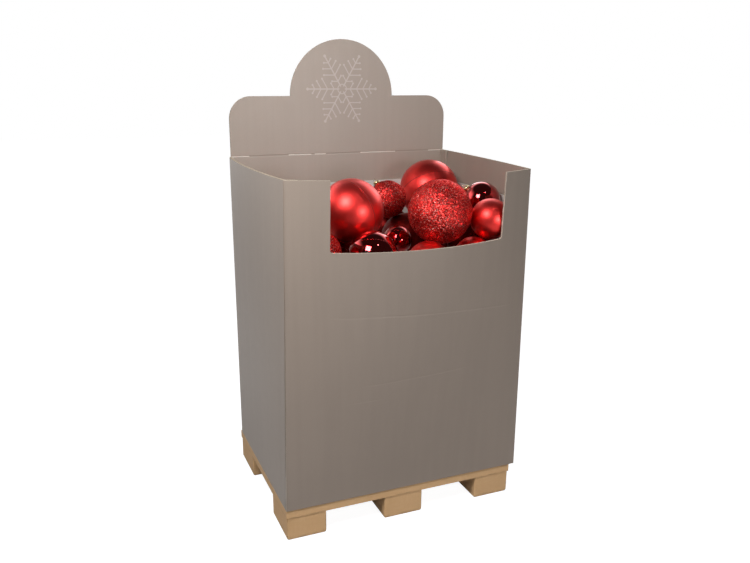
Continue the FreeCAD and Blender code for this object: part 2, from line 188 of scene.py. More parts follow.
# %% A finish
class Finish(Recipe):
    """A material for one kind of surface of the display."""

    def __init__(self, name, metallic=0.0):
        self.material = bpy.data.materials.new(name)
        self.material.use_nodes = True
        super().__init__(self.material.node_tree)
        self.shader = self.tree.nodes["Principled BSDF"]
        self.fix("Metallic", metallic)
        self.where = self.node("ShaderNodeTexCoord", {}, {}, "Object")
        self.x, self.y, self.z = self.parts(self.where)
        facing = self.node("ShaderNodeTexCoord", {}, {}, "Normal")
        self.facing_x, self.facing_y, self.facing_z = self.parts(facing)

    def noise(self, scale, detail=2.0, stretch=(1.0, 1.0, 1.0)):
        """Cloudy noise from about 0 to 1, with scale in waves per metre."""
        spread = self.node("ShaderNodeMapping", {}, {"Vector": self.where, "Scale": stretch})
        return self.node("ShaderNodeTexNoise", {}, {"Vector": spread, "Scale": scale, "Detail": detail})

    def fix(self, socket, value):
        """Gives the shader one value for the whole surface."""
        self.shader.inputs[socket].default_value = value

    def feed(self, socket, flow):
        """Gives the shader what changes from point to point."""
        self.tree.links.new(flow.socket, self.shader.inputs[socket])

    def raise_by(self, height):
        """Turns a height in metres into a bump."""
        bump = self.node("ShaderNodeBump", {}, {"Strength": 1.0, "Distance": 1.0, "Height": height})
        self.feed("Normal", bump)


# %% Colours, and finishes on CAD nodes
def light(part):
    """One part of a screen colour, 0 to 255, as the amount of light it stands for."""
    share = part / 255
    return ((share + 0.055) / 1.055) ** 2.4 if share > 0.04045 else share / 12.92


def shade(red, green, blue, by=1.0):
    """A screen colour as the linear colour that shaders work in, lighter or darker by a factor."""
    return (*(min(1.0, light(part) * by) for part in (red, green, blue)), 1.0)


def dress(finish, *names):
    """Puts a finish on CAD nodes, in the slots that they came with."""
    for name in names:
        node = nodes[name]
        if not node.material_slots:
            node.data.materials.append(finish.material)
        for slot in node.material_slots:
            slot.material = finish.material
    print(finish.material.name, "on", len(names), "nodes, from", len(finish.tree.nodes), "shader nodes")


print("a middle grey of 128 is", round(shade(128, 128, 128)[0], 3), "of the light of white")

# %% [markdown]
# ## Printed board
# The sleeve and the header card are double wall corrugated board with a grey brown print under a satin
# varnish, on both faces. A flat colour would look like plastic, so the print gets slow blotches, faint
# upright streaks, a fine grain, and the washboard of the flutes: upright ripples 6.5 mm apart.
# Where the board is cut, its layers show: pale liners with the wavy flutes between them, and the
# hollows between the paper are painted darker, as painted shade. The depths of the layers are shares
# of the board's thickness, from its printed face.

# %% Layers of the board
BOARD = 0.007
FLUTE_PITCH, CORE_PITCH = 0.0065, 0.0079
LINER_SHARES = (0.03, 0.42, 0.97)
OUTER_ROW_SHARES, CORE_ROW_SHARES = (0.22, 0.13), (0.69, 0.21)
SQUARE_ON = 0.7


def board_along(finish):
    """How far along the wall a point is: x on walls that face the front, y on the side walls."""
    sideways = abs(finish.facing_x) > SQUARE_ON
    return finish.x + sideways * (finish.y - finish.x)


def flute_wave(along, pitch):
    return (along * (2 * math.pi / pitch)).sine()


def flute_row(along, depth, pitch, row):
    """1 on a wavy flute, which swings to both sides of its row's middle."""
    middle, swing = row
    return 1.0 - abs(depth - (middle + swing * flute_wave(along, pitch))).rise(0.02, 0.07)


def cut_layers(along, depth):
    """1 on the paper of a cut through the board: three liners and two rows of flutes."""
    liners = [1.0 - abs(depth - liner).rise(0.03, 0.06) for liner in LINER_SHARES]
    outer_row = flute_row(along, depth, FLUTE_PITCH, OUTER_ROW_SHARES)
    core_row = flute_row(along, depth, CORE_PITCH, CORE_ROW_SHARES)
    return largest([outer_row, core_row, *liners])


print("double wall board of", BOARD * 1000, "mm with", len(LINER_SHARES), "liners")

# %% Printed board
PRINT = (163, 148, 136)
RAW = (240, 232, 220)
FLUTE_HOLLOW_SHADE = (172, 156, 134)
RIPPLE_HEIGHT, SWELL_HEIGHT, GRAIN_HEIGHT, LAYER_HEIGHT = 0.000006, 0.0008, 0.000012, 0.0004


def printed_board(name, raw, depth):
    """The printed finish, with bare board where raw is 1 and its layers across depth 0 to 1."""
    finish = Finish(name)
    along = board_along(finish)
    blotches = finish.noise(3.0, 3.0)
    grain = finish.noise(650.0, 2.0, (1.0, 1.0, 0.35))
    streaks = finish.noise(38.0, 2.0, (1.0, 1.0, 0.03))
    ink = finish.mixed(blotches, shade(*PRINT, by=0.95), shade(*PRINT, by=1.05))
    ink = finish.mixed(streaks.rise(0.3, 0.7) * 0.16, ink, shade(*PRINT, by=0.80))
    ink = finish.mixed(grain.rise(0.3, 0.7) * 0.10, ink, shade(*PRINT, by=0.72))
    bare = raw(finish)
    layers = cut_layers(along, depth(finish))
    # Painted shade: where a cut has no paper, in the hollows of the flutes, it is painted a darker kraft.
    paper = finish.mixed(layers * 0.9 + 0.1 * finish.noise(400.0), shade(*FLUTE_HOLLOW_SHADE), shade(*RAW))
    ripple = flute_wave(along, FLUTE_PITCH)
    smooth = ripple * RIPPLE_HEIGHT + blotches * SWELL_HEIGHT + grain * GRAIN_HEIGHT
    finish.height = (1.0 - bare) * smooth + bare * layers * LAYER_HEIGHT
    finish.colour = finish.mixed(bare, ink, paper)
    finish.feed("Roughness", 0.40 + 0.08 * finish.noise(40.0) + bare * 0.45)
    return finish


# %% [markdown]
# ## Where the board is cut
# The rims, the edges of the cut-out and the free edge at the front left corner face up, down or across
# the walls, so the way that a face looks tells a cut from a printed face. How deep a point lies in the
# board comes from the bow of the walls, written as the CAD model has it.

# %% Cuts of the sleeve and the header
sleeve_low, sleeve_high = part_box("sleeve_front_and_right")
SLEEVE_FOOT, SLEEVE_TOP = sleeve_low.z, sleeve_high.z
BACK_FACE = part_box("sleeve_back_and_left")[1].y
FRONT_FACE, FRONT_BOW = -0.2662, 0.092
MIDDLE_X, HALF_FRONT = 0.016, 0.396
CUT_OUT_RIGHT, CUT_OUT_BACK, FREE_EDGE_RIGHT = 0.31, -0.24, -0.38


def front_depth(finish):
    """0 on the front wall's printed outside, 1 on its inside."""
    share = (finish.z - SLEEVE_FOOT) / (SLEEVE_TOP - SLEEVE_FOOT)
    across = (finish.x - MIDDLE_X) / HALF_FRONT
    outside = FRONT_FACE - FRONT_BOW * share * (1.0 - across * across)
    return (finish.y - outside) / BOARD


def back_depth(finish):
    """0 on the back wall's outside, 1 on its inside."""
    return (BACK_FACE - finish.y) / BOARD


def level_cut(finish):
    """1 on rims, which look up or down."""
    return abs(finish.facing_z) > 0.6


def sleeve_front_cut(finish):
    """1 on the rims, the cut-out's upright edges and the free edge at the front left corner."""
    cut_out = (abs(finish.facing_x) > SQUARE_ON) * (finish.x < CUT_OUT_RIGHT) * (finish.y < CUT_OUT_BACK)
    free_edge = (finish.facing_x < -SQUARE_ON) * (finish.x < FREE_EDGE_RIGHT)
    return largest([level_cut(finish), cut_out, free_edge])


def header_cut(finish):
    """1 on the card's outline, which looks neither to the front nor to the back."""
    return abs(finish.facing_y) < SQUARE_ON


front_board = printed_board("printed board, front and right walls", sleeve_front_cut, front_depth)
back_board = printed_board("printed board, back and left walls", level_cut, back_depth)
header_board = printed_board("printed board, header card", header_cut, back_depth)
print("sleeve from", round(SLEEVE_FOOT, 3), "to", round(SLEEVE_TOP, 3), "m, back at", round(BACK_FACE, 4))

# %% [markdown]
# ## Creases in the front wall
# Baubles and hands push on the front wall until it bows, and the board keeps faint level creases where
# it has given way. They are shallow valleys a few millimetres wide. They could be cut in the mesh, but
# they are hardly deeper than the liner, so a bump does it, with a paler line painted along each valley
# as a painted highlight of the light that the crease catches. Each crease is given by the x of its
# start and end, its height, its slope and its half width.

# %% Creases in the front wall
CREASES = (
    (-0.263, 0.345, 0.724, -0.044, 0.0032),
    (-0.144, 0.191, 0.495, 0.039, 0.0026),
    (-0.193, -0.096, 0.441, 0.031, 0.0022),
)
CREASE_WANDER, CREASE_FADE, CREASE_DEPTH = 0.004, 0.03, 0.00025


def to_the_front(finish):
    """1 on faces that look to the front."""
    return finish.facing_y < -0.5


def crease_valley(finish, start, end, height, slope, half):
    """1 in the middle of a crease, which wanders a little up and down."""
    line = finish.z - (height + (finish.x - start) * slope + CREASE_WANDER * finish.noise(9.0))
    return (1.0 - abs(line).rise(0.0, half * 1.6)) * finish.x.band(start, end, CREASE_FADE)


valleys = largest([crease_valley(front_board, *crease) for crease in CREASES]) * to_the_front(front_board)
front_board.height = front_board.height - valleys * CREASE_DEPTH
# Painted highlight: each crease's valley is painted a paler print.
front_board.colour = front_board.mixed(valleys * 0.12, front_board.colour, shade(*PRINT, by=1.35))
print("creases:", [f"{(end - start) * 1000:.0f} mm long" for start, end, *rest in CREASES])

# %% [markdown]
# ## The header's crease and its cuts
# The header card folds back on a crease, and short cuts through the crease weaken it. Each cut opens a
# little and shows pale board. They lie in line, of uneven length, where the card meets the back wall.
# Each opening lies partly on the card and partly on the wall, so both finishes get the same marks.

# %% The header's crease
FOLD_CUTS = ((-0.394, -0.331), (-0.191, -0.108), (-0.095, -0.054), (0.079, 0.217), (0.353, 0.414))
FOLD_CUT_BELOW, FOLD_CUT_ABOVE, FOLD_CUT_SOFT, FOLD_CUT_END = 0.0008, 0.0014, 0.0005, 0.001
FOLD_HALF, FOLD_DEPTH = 0.004, 0.0005


def fold_cuts(finish):
    """1 in the cuts, on the face that looks to the front."""
    lengths = largest([finish.x.band(start, end, FOLD_CUT_END) for start, end in FOLD_CUTS])
    opening = finish.z.band(SLEEVE_TOP - FOLD_CUT_BELOW, SLEEVE_TOP + FOLD_CUT_ABOVE, FOLD_CUT_SOFT)
    return lengths * opening * to_the_front(finish)


for board in (back_board, header_board):
    fold = (1.0 - abs(board.z - SLEEVE_TOP).rise(0.0, FOLD_HALF)) * to_the_front(board)
    # Painted shade: a band 4 mm to each side of the crease is painted darker, besides its bump.
    board.colour = board.mixed(fold * 0.18, board.colour, shade(*PRINT, by=0.7))
    board.colour = board.mixed(fold_cuts(board) * 0.85, board.colour, shade(*RAW))
    board.height = board.height - fold * FOLD_DEPTH
print("cuts through the header's crease:", len(FOLD_CUTS))

# %% [markdown]
# ## The header's print
# A header carries a picture for the season. This one gets a plain snowflake with six arms, printed in
# a pale tint of the board's own colour. An arm is drawn once: the angle around the middle is folded
# six times, so every arm reads the same distances. Side twigs are lines that leave it at 60 degrees.
# A twig is given by how far out it starts and how long it is.

# %% The header's print
FLAKE_MIDDLE = (0.009, 1.351)
FLAKE_REACH = 0.127
ARM_START, ARM_HALF, ARM_TIP = 0.010, 0.0022, 0.0050
TWIGS = ((0.030, 0.022), (0.054, 0.040), (0.078, 0.031), (0.101, 0.016))
TWIG_HALF, TWIG_TIP = 0.0018, 0.0034
RING_RADIUS, RING_HALF = 0.016, 0.0016
PRINT_SOFT, LINE_END_SOFT = 0.0007, 0.001
SIXTH = math.pi / 3


def line_mark(distance, half):
    """1 within half of a line, or of a dot's middle."""
    return 1.0 - distance.rise(half - PRINT_SOFT, half + PRINT_SOFT)


def twig_mark(out, aside, start, length):
    """1 on a twig and on the dot at its tip."""
    cosine, sine = math.cos(SIXTH), math.sin(SIXTH)
    off_line = abs((out - start) * sine - aside * cosine)
    along = (out - start) * cosine + aside * sine
    twig = line_mark(off_line, TWIG_HALF) * along.band(0.0, length, LINE_END_SOFT)
    off_tip = ((out - start - length * cosine) ** 2.0 + (aside - length * sine) ** 2.0) ** 0.5
    return twig.larger(line_mark(off_tip, TWIG_TIP))


def snowflake(finish):
    """1 on the snowflake's lines."""
    over = finish.x - FLAKE_MIDDLE[0]
    up = finish.z - FLAKE_MIDDLE[1]
    radius = (over * over + up * up) ** 0.5
    angle = finish.maths("ARCTAN2", up, over) + math.pi + SIXTH / 2
    folded = abs(finish.maths("FLOORED_MODULO", angle, SIXTH) - SIXTH / 2)
    out = radius * folded.cosine()
    aside = radius * folded.sine()
    arm = line_mark(aside, ARM_HALF) * out.band(ARM_START, FLAKE_REACH, LINE_END_SOFT)
    tip = line_mark(((out - FLAKE_REACH) ** 2.0 + aside * aside) ** 0.5, ARM_TIP)
    ring = line_mark(abs(radius - RING_RADIUS), RING_HALF)
    return largest([arm, tip, ring, *(twig_mark(out, aside, *twig) for twig in TWIGS)])


printed = snowflake(header_board) * to_the_front(header_board)
header_board.colour = header_board.mixed(printed * 0.55, header_board.colour, shade(196, 182, 178))
print("snowflake:", 6 * (1 + 2 * len(TWIGS)), "lines,", FLAKE_REACH * 2000, "mm across")

# %% The printed board goes on the sleeve and the header
for board in (front_board, back_board, header_board):
    board.feed("Base Color", board.colour)
    board.raise_by(board.height)
dress(front_board, "sleeve_front_and_right")
dress(back_board, "sleeve_back_and_left")
dress(header_board, "header_card")

# %% [markdown]
# ## Plain board
# The false floor and the dividers are plain pale board, which nobody is meant to see: only the floor's
# raised rim shows between the baubles. It has blotches and darker fibres like any paper, and the
# washboard of its flutes. A smooth white would read as plastic there.


# %% Plain board
def plain_board():
    finish = Finish("plain pale board")
    fibres = finish.noise(120.0, 4.0, (1.0, 1.0, 0.2))
    blotches = finish.noise(6.0, 2.0)
    colour = finish.mixed(blotches, shade(196, 190, 183), shade(210, 205, 199))
    colour = finish.mixed(fibres.rise(0.55, 0.8) * 0.25, colour, shade(168, 158, 146))
    finish.feed("Base Color", colour)
    finish.feed("Roughness", 0.62 + 0.15 * fibres)
    finish.raise_by(flute_wave(board_along(finish), FLUTE_PITCH) * 0.00001 + fibres * 0.00003)
    return finish


DIVIDERS = [f"divider_{place}" for place in ("long_front", "long_rear", "cross_left", "cross_right")]
dress(plain_board(), "false_floor", *DIVIDERS)

# %% [markdown]
# ## Kraft board
# The pallet is kraft board: brown, smooth, with long fibres and small dark specks. Its feet are a
# little darker in uneven patches near the ground, and the deck is darker in patches along its lower
# edge. Two noises, each stretched along one direction, make the fibres: where both are high, a fibre
# shows.

# %% Kraft board
FOOT_DARK_LOW, FOOT_DARK_HIGH = 0.001, 0.016
DECK_EDGE, DECK_DARK_HALF = 0.080, 0.005


def kraft_board(name, darker_by):
    """The pallet's board, darker where darker_by is above 0."""
    finish = Finish(name)
    fibres = finish.noise(160.0, 4.0, (1.0, 1.0, 0.15))
    cross_fibres = finish.noise(160.0, 4.0, (0.15, 1.0, 1.0))
    specks = finish.noise(900.0, 1.0).rise(0.70, 0.78)
    blotches = finish.noise(7.0, 3.0)
    colour = finish.mixed(blotches, shade(226, 180, 128), shade(240, 196, 146))
    colour = finish.mixed((fibres * cross_fibres).rise(0.18, 0.40) * 0.22, colour, shade(243, 206, 156))
    colour = finish.mixed(specks * 0.45, colour, shade(120, 88, 52))
    colour = finish.mixed(darker_by(finish), colour, shade(150, 120, 82))
    finish.feed("Base Color", colour)
    finish.feed("Roughness", 0.60 + 0.16 * fibres)
    finish.raise_by(fibres * 0.00005 + blotches * 0.0012)
    return finish


def darker_foot_bottom(finish):
    """Darker in the lowest 15 mm of a foot, in uneven patches."""
    low = 1.0 - finish.z.rise(FOOT_DARK_LOW, FOOT_DARK_HIGH)
    return low * finish.noise(60.0, 3.0).rise(0.35, 0.65) * 0.55


def darker_deck_edge(finish):
    """Darker along the deck's lower edge, in uneven patches."""
    low = 1.0 - abs(finish.z - DECK_EDGE).rise(0.0, DECK_DARK_HALF)
    return low * finish.noise(45.0, 3.0).rise(0.4, 0.7) * 0.4


FEET = [f"pallet_foot_{row}_{side}" for row in ("front", "rear") for side in ("left", "middle", "right")]
dress(kraft_board("kraft board, feet", darker_foot_bottom), *FEET)
dress(kraft_board("kraft board, deck", darker_deck_edge), "pallet_deck_cover")

# %% [markdown]
# ## Honeycomb inside the deck
# The deck is stiff because a honeycomb of paper strips fills it. Its solid is a plain slab that the
# cover hides, so thousands of real cells would be a waste. A cell pattern seen from above draws the
# strips, and its jitter is low, because glued strips pull out into even cells. The hollows of the
# cells are painted dark brown, as painted shade.


# %% Honeycomb inside the deck
def honeycomb():
    finish = Finish("paper honeycomb")
    finish.fix("Roughness", 0.8)
    walls = finish.node(
        "ShaderNodeTexVoronoi",
        {"feature": "DISTANCE_TO_EDGE", "voronoi_dimensions": "2D"},
        {"Vector": finish.where, "Scale": 70.0, "Randomness": 0.15},
    )
    paper = 1.0 - walls.rise(0.03, 0.09)
    # Painted shade: the hollows of the cells are painted dark, the strips between them pale.
    finish.feed("Base Color", finish.mixed(paper, shade(96, 72, 44), shade(186, 152, 104)))
    finish.raise_by(paper * 0.002)
    return finish


dress(honeycomb(), "pallet_deck_core")

# %% [markdown]
# ## Satin red
# The baubles are blown plastic with a vapour of metal, and a red lacquer over it. So all their
# finishes are metallic, and differ in what lies on top. The satin ones are frosted, which spreads the
# light: a rough metal under a rough coat does the same. A fine line shows where the mould's halves
# met. The baubles deep in the heap get the same finish darkened to a wine red with less coat: this is
# painted shade, which keeps the gaps between the baubles dark.


# %% Satin red
def seam_line(finish, half):
    """1 on the parting line of the mould, whose distance the ball's mesh carries."""
    distance = finish.node("ShaderNodeAttribute", {"attribute_name": "seam"}, {}, "Fac")
    return 1.0 - abs(distance).rise(half * 0.4, half)


def satin_red(name, by=1.0):
    finish = Finish(name, metallic=1.0)
    finish.fix("Coat Weight", 0.55 * by)
    finish.fix("Coat Roughness", 0.40)
    seam = seam_line(finish, 0.0014)
    cloud = finish.noise(14.0, 3.0)
    colour = finish.mixed(cloud, shade(246, 50, 45, by), shade(255, 58, 52, by))
    finish.feed("Base Color", finish.mixed(seam * 0.6, colour, shade(110, 14, 16, by)))
    finish.feed("Roughness", 0.37 + 0.05 * cloud + 0.02 * finish.noise(700.0))
    finish.raise_by(seam * 0.0005 + finish.noise(900.0, 2.0) * 0.00001)
    return finish


SATIN = satin_red("satin red lacquer")
# Painted shade: the buried baubles get the satin finish at 0.16 of its colour and coat, so the gaps in
# the heap look shaded.
SHADED_SATIN = satin_red("satin red lacquer in painted shade", by=0.16)
print("frosted finishes:", SATIN.material.name, "and", SHADED_SATIN.material.name)

# %% [markdown]
# ## Mirror red
# The mirror baubles are the same metal under bare lacquer. What they show is the room, so the colour
# hardly varies. A perfect mirror would look computed: slow waves in the blown wall bend the picture,
# and a few duller patches are where fingers have been.


# %% Mirror red
def mirror_red():
    finish = Finish("mirror red lacquer", metallic=1.0)
    finish.fix("Coat Weight", 1.0)
    finish.fix("Coat Roughness", 0.02)
    seam = seam_line(finish, 0.0007)
    flow = finish.noise(9.0, 2.0)
    finish.feed("Base Color", finish.mixed(flow, shade(176, 16, 20), shade(196, 22, 26)))
    finish.feed("Roughness", 0.03 + 0.04 * finish.noise(35.0, 3.0).rise(0.5, 0.8))
    finish.raise_by(seam * 0.0002 + flow * 0.0006)
    return finish


MIRROR = mirror_red()
print("bare lacquer:", MIRROR.material.name)

# %% [markdown]
# ## Glitter red
# The glitter baubles are rolled in flakes. Each flake is a tiny mirror that leans its own way, and a
# few in a hundred catch a lamp and sparkle. Real flakes would be millions of faces. A cell pattern
# with one random colour for each cell tilts the surface cell by cell instead.

# %% Glitter red
FLAKE = 0.0020


def glitter_red():
    finish = Finish("glitter red flakes", metallic=0.85)
    finish.fix("Specular Tint", (0.60, 0.20, 0.20, 1.0))
    flakes = finish.node(
        "ShaderNodeTexVoronoi",
        {"voronoi_dimensions": "3D"},
        {"Vector": finish.where, "Scale": 1 / FLAKE},
        "Color",
    )
    lean = finish.node("ShaderNodeVectorMath", {"operation": "SUBTRACT"}, {0: flakes, 1: (0.5, 0.5, 0.5)})
    lean = finish.node("ShaderNodeVectorMath", {"operation": "SCALE"}, {0: lean, "Scale": 0.85})
    surface = finish.node("ShaderNodeNewGeometry", {}, {}, "Normal")
    tilted = finish.node("ShaderNodeVectorMath", {"operation": "ADD"}, {0: surface, 1: lean})
    finish.feed("Normal", finish.node("ShaderNodeVectorMath", {"operation": "NORMALIZE"}, {0: tilted}))
    luck = finish.parts(flakes)[0]
    colour = finish.mixed(luck, shade(140, 10, 14), shade(255, 74, 68))
    finish.feed("Base Color", finish.mixed(luck.rise(0.90, 0.96), colour, shade(255, 176, 166)))
    finish.feed("Roughness", 0.22 + 0.25 * luck)
    return finish


GLITTER = glitter_red()
print("flakes of", FLAKE * 1000, "mm:", GLITTER.material.name)

# %% [markdown]
# ## Gold
# The caps and their wire loops are thin aluminium, anodised to a pale gold. It is soft metal that has
# been pressed and handled, so its roughness varies in small clouds and the sheet has tiny dents.


# %% Gold
def gold():
    finish = Finish("gold anodised cap", metallic=1.0)
    cloud = finish.noise(300.0, 2.0)
    finish.feed("Base Color", finish.mixed(cloud, shade(232, 206, 150), shade(248, 230, 186)))
    finish.feed("Roughness", 0.20 + 0.14 * cloud)
    finish.raise_by(finish.noise(1400.0) * 0.00001)
    return finish


GOLD = gold()
print("caps and loops:", GOLD.material.name)

# %% [markdown]
# ## Baubles
# A bauble is one shell: a ball that ends in a short neck, where the blowing nozzle sat. So it isn't
# taken from a ready sphere. One point is spun into the ball's half outline, the neck is drawn out from
# its end, and the outline is spun round. Every point also keeps its distance from the plane of the
# mould's parting line, so that the finish can draw the seam. The line runs through the neck, and only
# one ball shows it to the front. Each ball takes its place from its CAD solid, whose neck makes the
# solid's box longer on one side.

# %% What the CAD model says of the baubles
CAP_WAYS = {
    "glitter_small": (-0.5, 0.25, 0.8),
    "mirror_right": (-0.7, 0.3, 0.6),
    "glitter_large": (0.1, 0.6, -0.8),
    "satin_left": (-0.22, 0.97, -0.1),
    "satin_back": (0.5, 0.6, -0.6),
    "satin_right": (0.2, -0.3, -0.9),
}
CAPPED_DIAMETERS = {
    "glitter_small": 0.125,
    "mirror_right": 0.125,
    "glitter_large": 0.200,
    "satin_left": 0.200,
    "satin_back": 0.210,
    "satin_right": 0.130,
}
FINISHES = {
    "satin": (SATIN, "satin_red"),
    # The buried baubles take the satin finish darkened as painted shade.
    "buried": (SHADED_SATIN, "satin_red"),
    "glitter": (GLITTER, "glitter_red"),
    "mirror": (MIRROR, "mirror_red"),
}
BALLS = sorted(name[: -len("_bauble")] for name in nodes if name.endswith("_bauble"))


def ball_place(name):
    """The centre and radius of a ball, from the sides of its box that the neck doesn't reach."""
    low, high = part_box(f"{name}_bauble")
    if name not in CAP_WAYS:
        return (low + high) / 2, (high.z - low.z) / 2
    radius = CAPPED_DIAMETERS[name] / 2
    centre = [low[i] + radius if CAP_WAYS[name][i] > 0 else high[i] - radius for i in range(3)]
    return Vector(centre), radius


print("baubles:", len(BALLS), "of which", len(CAP_WAYS), "have a cap and lift out")


# %% Put a finished shape in the scene
def put_in_scene(name, shape, finish, body, slot, *stands_for):
    """Makes an object of a finished bmesh, puts it under its body and says how many faces it has."""
    for face in shape.faces:
        face.smooth = True
    mesh = bpy.data.meshes.new(name)
    shape.to_mesh(mesh)
    shape.free()
    mesh.materials.append(finish.material)
    piece = bpy.data.objects.new(name, mesh)
    bpy.context.scene.collection.objects.link(piece)
    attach(piece, body)
    if stands_for:
        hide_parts(*stands_for)
    return len(mesh.polygons)


def spin_round(shape, steps):
    """Spins the outline in the x-z plane once round z and closes the poles."""
    bmesh.ops.spin(
        shape, geom=shape.verts[:] + shape.edges[:], cent=(0, 0, 0), axis=(0, 0, 1),
        angle=2 * math.pi, steps=steps, use_merge=True,
    )
    bmesh.ops.remove_doubles(shape, verts=shape.verts[:], dist=1e-6)
    bmesh.ops.recalc_face_normals(shape, faces=shape.faces[:])


def close_holes(shape):
    bmesh.ops.holes_fill(shape, edges=[edge for edge in shape.edges if edge.is_boundary])


def new_points(made):
    """The vertices among what an operator has made."""
    return [item for item in made if isinstance(item, bmesh.types.BMVert)]


def turn_to(way, centre):
    """Turns a shape from z to a direction and moves it to its place."""
    turn = Vector((0, 0, 1)).rotation_difference(Vector(way)).to_matrix().to_4x4()
    return Matrix.Translation(centre) @ turn


# %% Blow the baubles
NECK_RADIUS, NECK_HEIGHT = 0.008, 0.007
OUTLINE_STEPS, ROUND_STEPS = 56, 112
UNSEEN_NECK_WAY = (0.3, 0.5, -0.8)
SEAM_FACING = {"satin_left": (0.893, 0.374, 0.250)}
SEAM_ASIDE = Vector((-0.45, -0.87, 0.19))


def seam_facing(name, way):
    """Which way the plane of the parting line looks, so that it runs through the neck."""
    return Vector(SEAM_FACING.get(name, SEAM_ASIDE - way * SEAM_ASIDE.dot(way))).normalized()


def blow_bauble(name):
    centre, radius = ball_place(name)
    capped = name in CAP_WAYS
    shape = bmesh.new()
    seam = shape.verts.layers.float.new("seam")
    pole = shape.verts.new((0, 0, -radius))
    reach = math.pi - math.asin(NECK_RADIUS / radius) if capped else math.pi
    arc = bmesh.ops.spin(
        shape, geom=[pole], cent=(0, 0, 0), axis=(0, 1, 0), angle=reach, steps=OUTLINE_STEPS
    )
    if capped:
        neck = bmesh.ops.extrude_vert_indiv(shape, verts=new_points(arc["geom_last"]))
        bmesh.ops.translate(shape, verts=neck["verts"], vec=(0, 0, NECK_HEIGHT))
    spin_round(shape, ROUND_STEPS)
    close_holes(shape)
    way = Vector(CAP_WAYS.get(name, UNSEEN_NECK_WAY)).normalized()
    bmesh.ops.transform(shape, matrix=turn_to(way, centre), verts=shape.verts[:])
    facing = seam_facing(name, way)
    for vert in shape.verts:
        vert[seam] = (vert.co - centre).dot(facing)
    finish, slot = FINISHES[name.split("_")[0]]
    body = name if capped else "stand"
    return put_in_scene(f"{name}_ball", shape, finish, body, slot, f"{name}_bauble")


faces = sum(blow_bauble(name) for name in BALLS)
print("baubles blown:", len(BALLS), "with", faces, "faces")

# %% [markdown]
# ## Caps
# A cap is a cup of thin gold metal, pressed over the neck. Its skirt is crimped into small flutes so
# that it grips. The cup's outline is spun round, every other part of the skirt is drawn in for the
# flutes, and the sheet is given its thickness. The outline's points are shares of the cap's radius and
# height. The cap comes down on the ball where the ball is as wide as the cap's seat.

# %% Press the caps
CAP_RADIUS, CAP_HEIGHT, CAP_SHEET = 0.0115, 0.010, 0.0005
CAP_SEAT_RADIUS, CAP_SEAT_GAP = 0.0107, 0.0003
CAP_OUTLINE_SHARES = (
    (0.0, 1.0), (0.25, 0.99), (0.60, 0.96), (0.80, 0.90),
    (0.90, 0.80), (0.94, 0.60), (0.97, 0.30), (1.0, 0.0),
)
CAP_FLUTES, STEPS_PER_FLUTE = 24, 6
CRIMP_SHARE, CRIMPED_HEIGHT_SHARE = 0.055, 0.85


def cap_foot(name):
    """Where a cap's axis meets the level of its rim, and the way it points."""
    centre, radius = ball_place(name)
    way = Vector(CAP_WAYS[name]).normalized()
    return centre + way * (math.sqrt(radius**2 - CAP_SEAT_RADIUS**2) + CAP_SEAT_GAP), way


def crimp(shape):
    """Draws the skirt in between its flutes, most at the rim."""
    for vert in shape.verts:
        grip = 1.0 - min(1.0, vert.co.z / (CAP_HEIGHT * CRIMPED_HEIGHT_SHARE))
        around = 0.5 + 0.5 * math.cos(CAP_FLUTES * math.atan2(vert.co.y, vert.co.x))
        draw = 1.0 - CRIMP_SHARE * grip**0.5 * around
        vert.co.x *= draw
        vert.co.y *= draw


def press_cap(name):
    shape = bmesh.new()
    points = [shape.verts.new((CAP_RADIUS * out, 0, CAP_HEIGHT * up)) for out, up in CAP_OUTLINE_SHARES]
    for first, second in zip(points, points[1:]):
        shape.edges.new((first, second))
    spin_round(shape, CAP_FLUTES * STEPS_PER_FLUTE)
    crimp(shape)
    bmesh.ops.solidify(shape, geom=shape.faces[:], thickness=CAP_SHEET)
    foot, way = cap_foot(name)
    bmesh.ops.transform(shape, matrix=turn_to(way, foot), verts=shape.verts[:])
    return put_in_scene(f"{name}_gold_cap", shape, GOLD, name, "gold_cap", f"{name}_cap")


# %% [markdown]
# ## Wire loops
# A sprung wire loop comes out of each cap's top and holds the cap on the neck from inside. It could be
# a bent curve with a bevel, but a spun ring stays a clean tube: a small ring is spun along a half
# circle, and its two ends are drawn down into the cap.

# %% Bend the wire loops
WIRE_RADIUS, WIRE_SIDES = 0.0006, 10
LOOP_RADIUS, LOOP_STEM, LOOP_BURIED = 0.0048, 0.0035, 0.002
LOOP_STEPS = 24


def bend_loop(name):
    shape = bmesh.new()
    ring = bmesh.ops.create_circle(shape, radius=WIRE_RADIUS, segments=WIRE_SIDES)
    bmesh.ops.translate(shape, verts=ring["verts"], vec=(LOOP_RADIUS, 0, 0))
    bmesh.ops.spin(
        shape, geom=shape.verts[:] + shape.edges[:], cent=(0, 0, 0), axis=(0, -1, 0),
        angle=math.pi, steps=LOOP_STEPS,
    )
    ends = [edge for edge in shape.edges if edge.is_boundary]
    stems = bmesh.ops.extrude_edge_only(shape, edges=ends)
    bmesh.ops.translate(shape, verts=new_points(stems["geom"]), vec=(0, 0, -LOOP_STEM - LOOP_BURIED))
    close_holes(shape)
    bmesh.ops.recalc_face_normals(shape, faces=shape.faces[:])
    foot, way = cap_foot(name)
    middle = foot + way * (CAP_HEIGHT + LOOP_STEM)
    bmesh.ops.transform(shape, matrix=turn_to(way, middle), verts=shape.verts[:])
    return put_in_scene(f"{name}_wire_loop", shape, GOLD, name, "gold_cap")


for name in CAP_WAYS:
    print(name, "cap:", press_cap(name), "faces, loop:", bend_loop(name), "faces")

# %% [markdown]
# ## Floor
# The floor is white, and it should keep a faint shadow of the display. Plain white paint lit by lamps
# comes out grey at its far end, so the paint is dull, and it also glows for the camera. In reflections
# it glows less: least far in front of the display and most behind it, as a sweep of paper does.

# %% Floor
FLOOR_HALF = 14.0
FRONT_GLOW_FADE, REAR_GLOW_RISE = (-3.2, -2.0), (0.3, 1.2)

